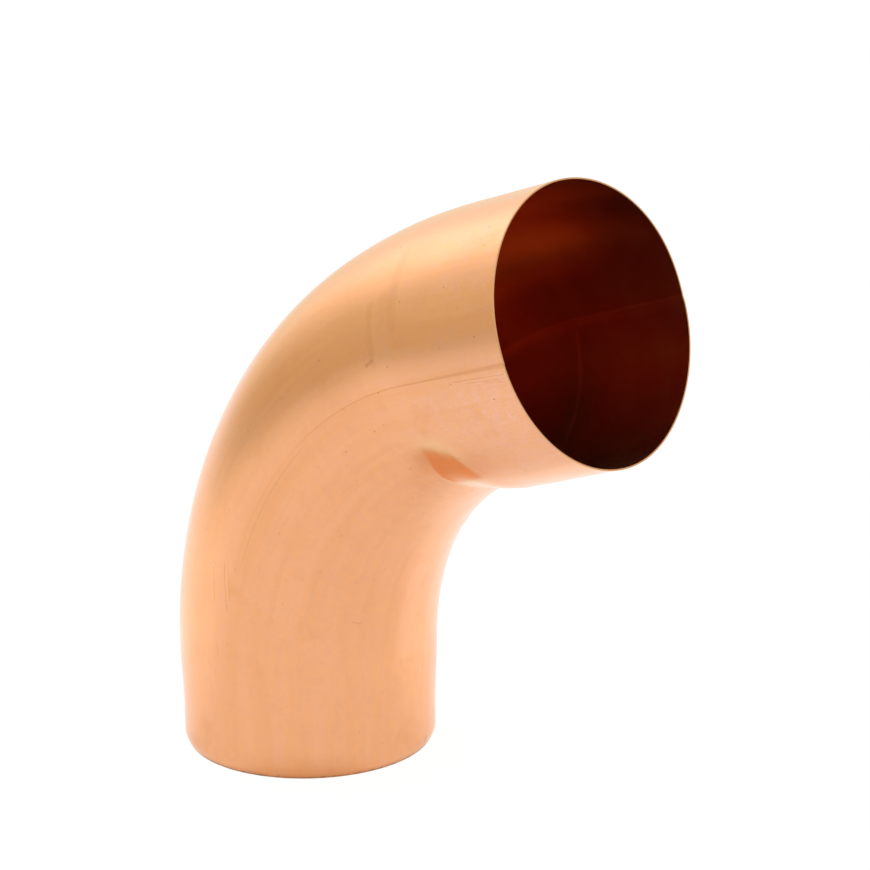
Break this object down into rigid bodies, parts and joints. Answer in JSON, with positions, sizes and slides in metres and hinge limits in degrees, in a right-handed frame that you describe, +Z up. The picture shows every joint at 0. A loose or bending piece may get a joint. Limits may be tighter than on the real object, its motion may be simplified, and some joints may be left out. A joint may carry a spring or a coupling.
{
  "type": "downspout elbow",
  "caption": "Round copper downspout elbow: a smooth bend from a slightly tapered spigot to a widened socket, joining two lengths of rainwater pipe at an angle.",
  "frame": {"origin": "centre of the spigot's bottom rim", "axes": "+Z up the spigot, the bend turns towards +X, and +Y is to the left of the socket seen from above"},
  "size_m": [0.2064, 0.1028, 0.2333],
  "materials": {
    "copper": "satin mill copper"
  },
  "bodies": {
    "root": {"elbow": "copper"}
  },
  "joints": []
}
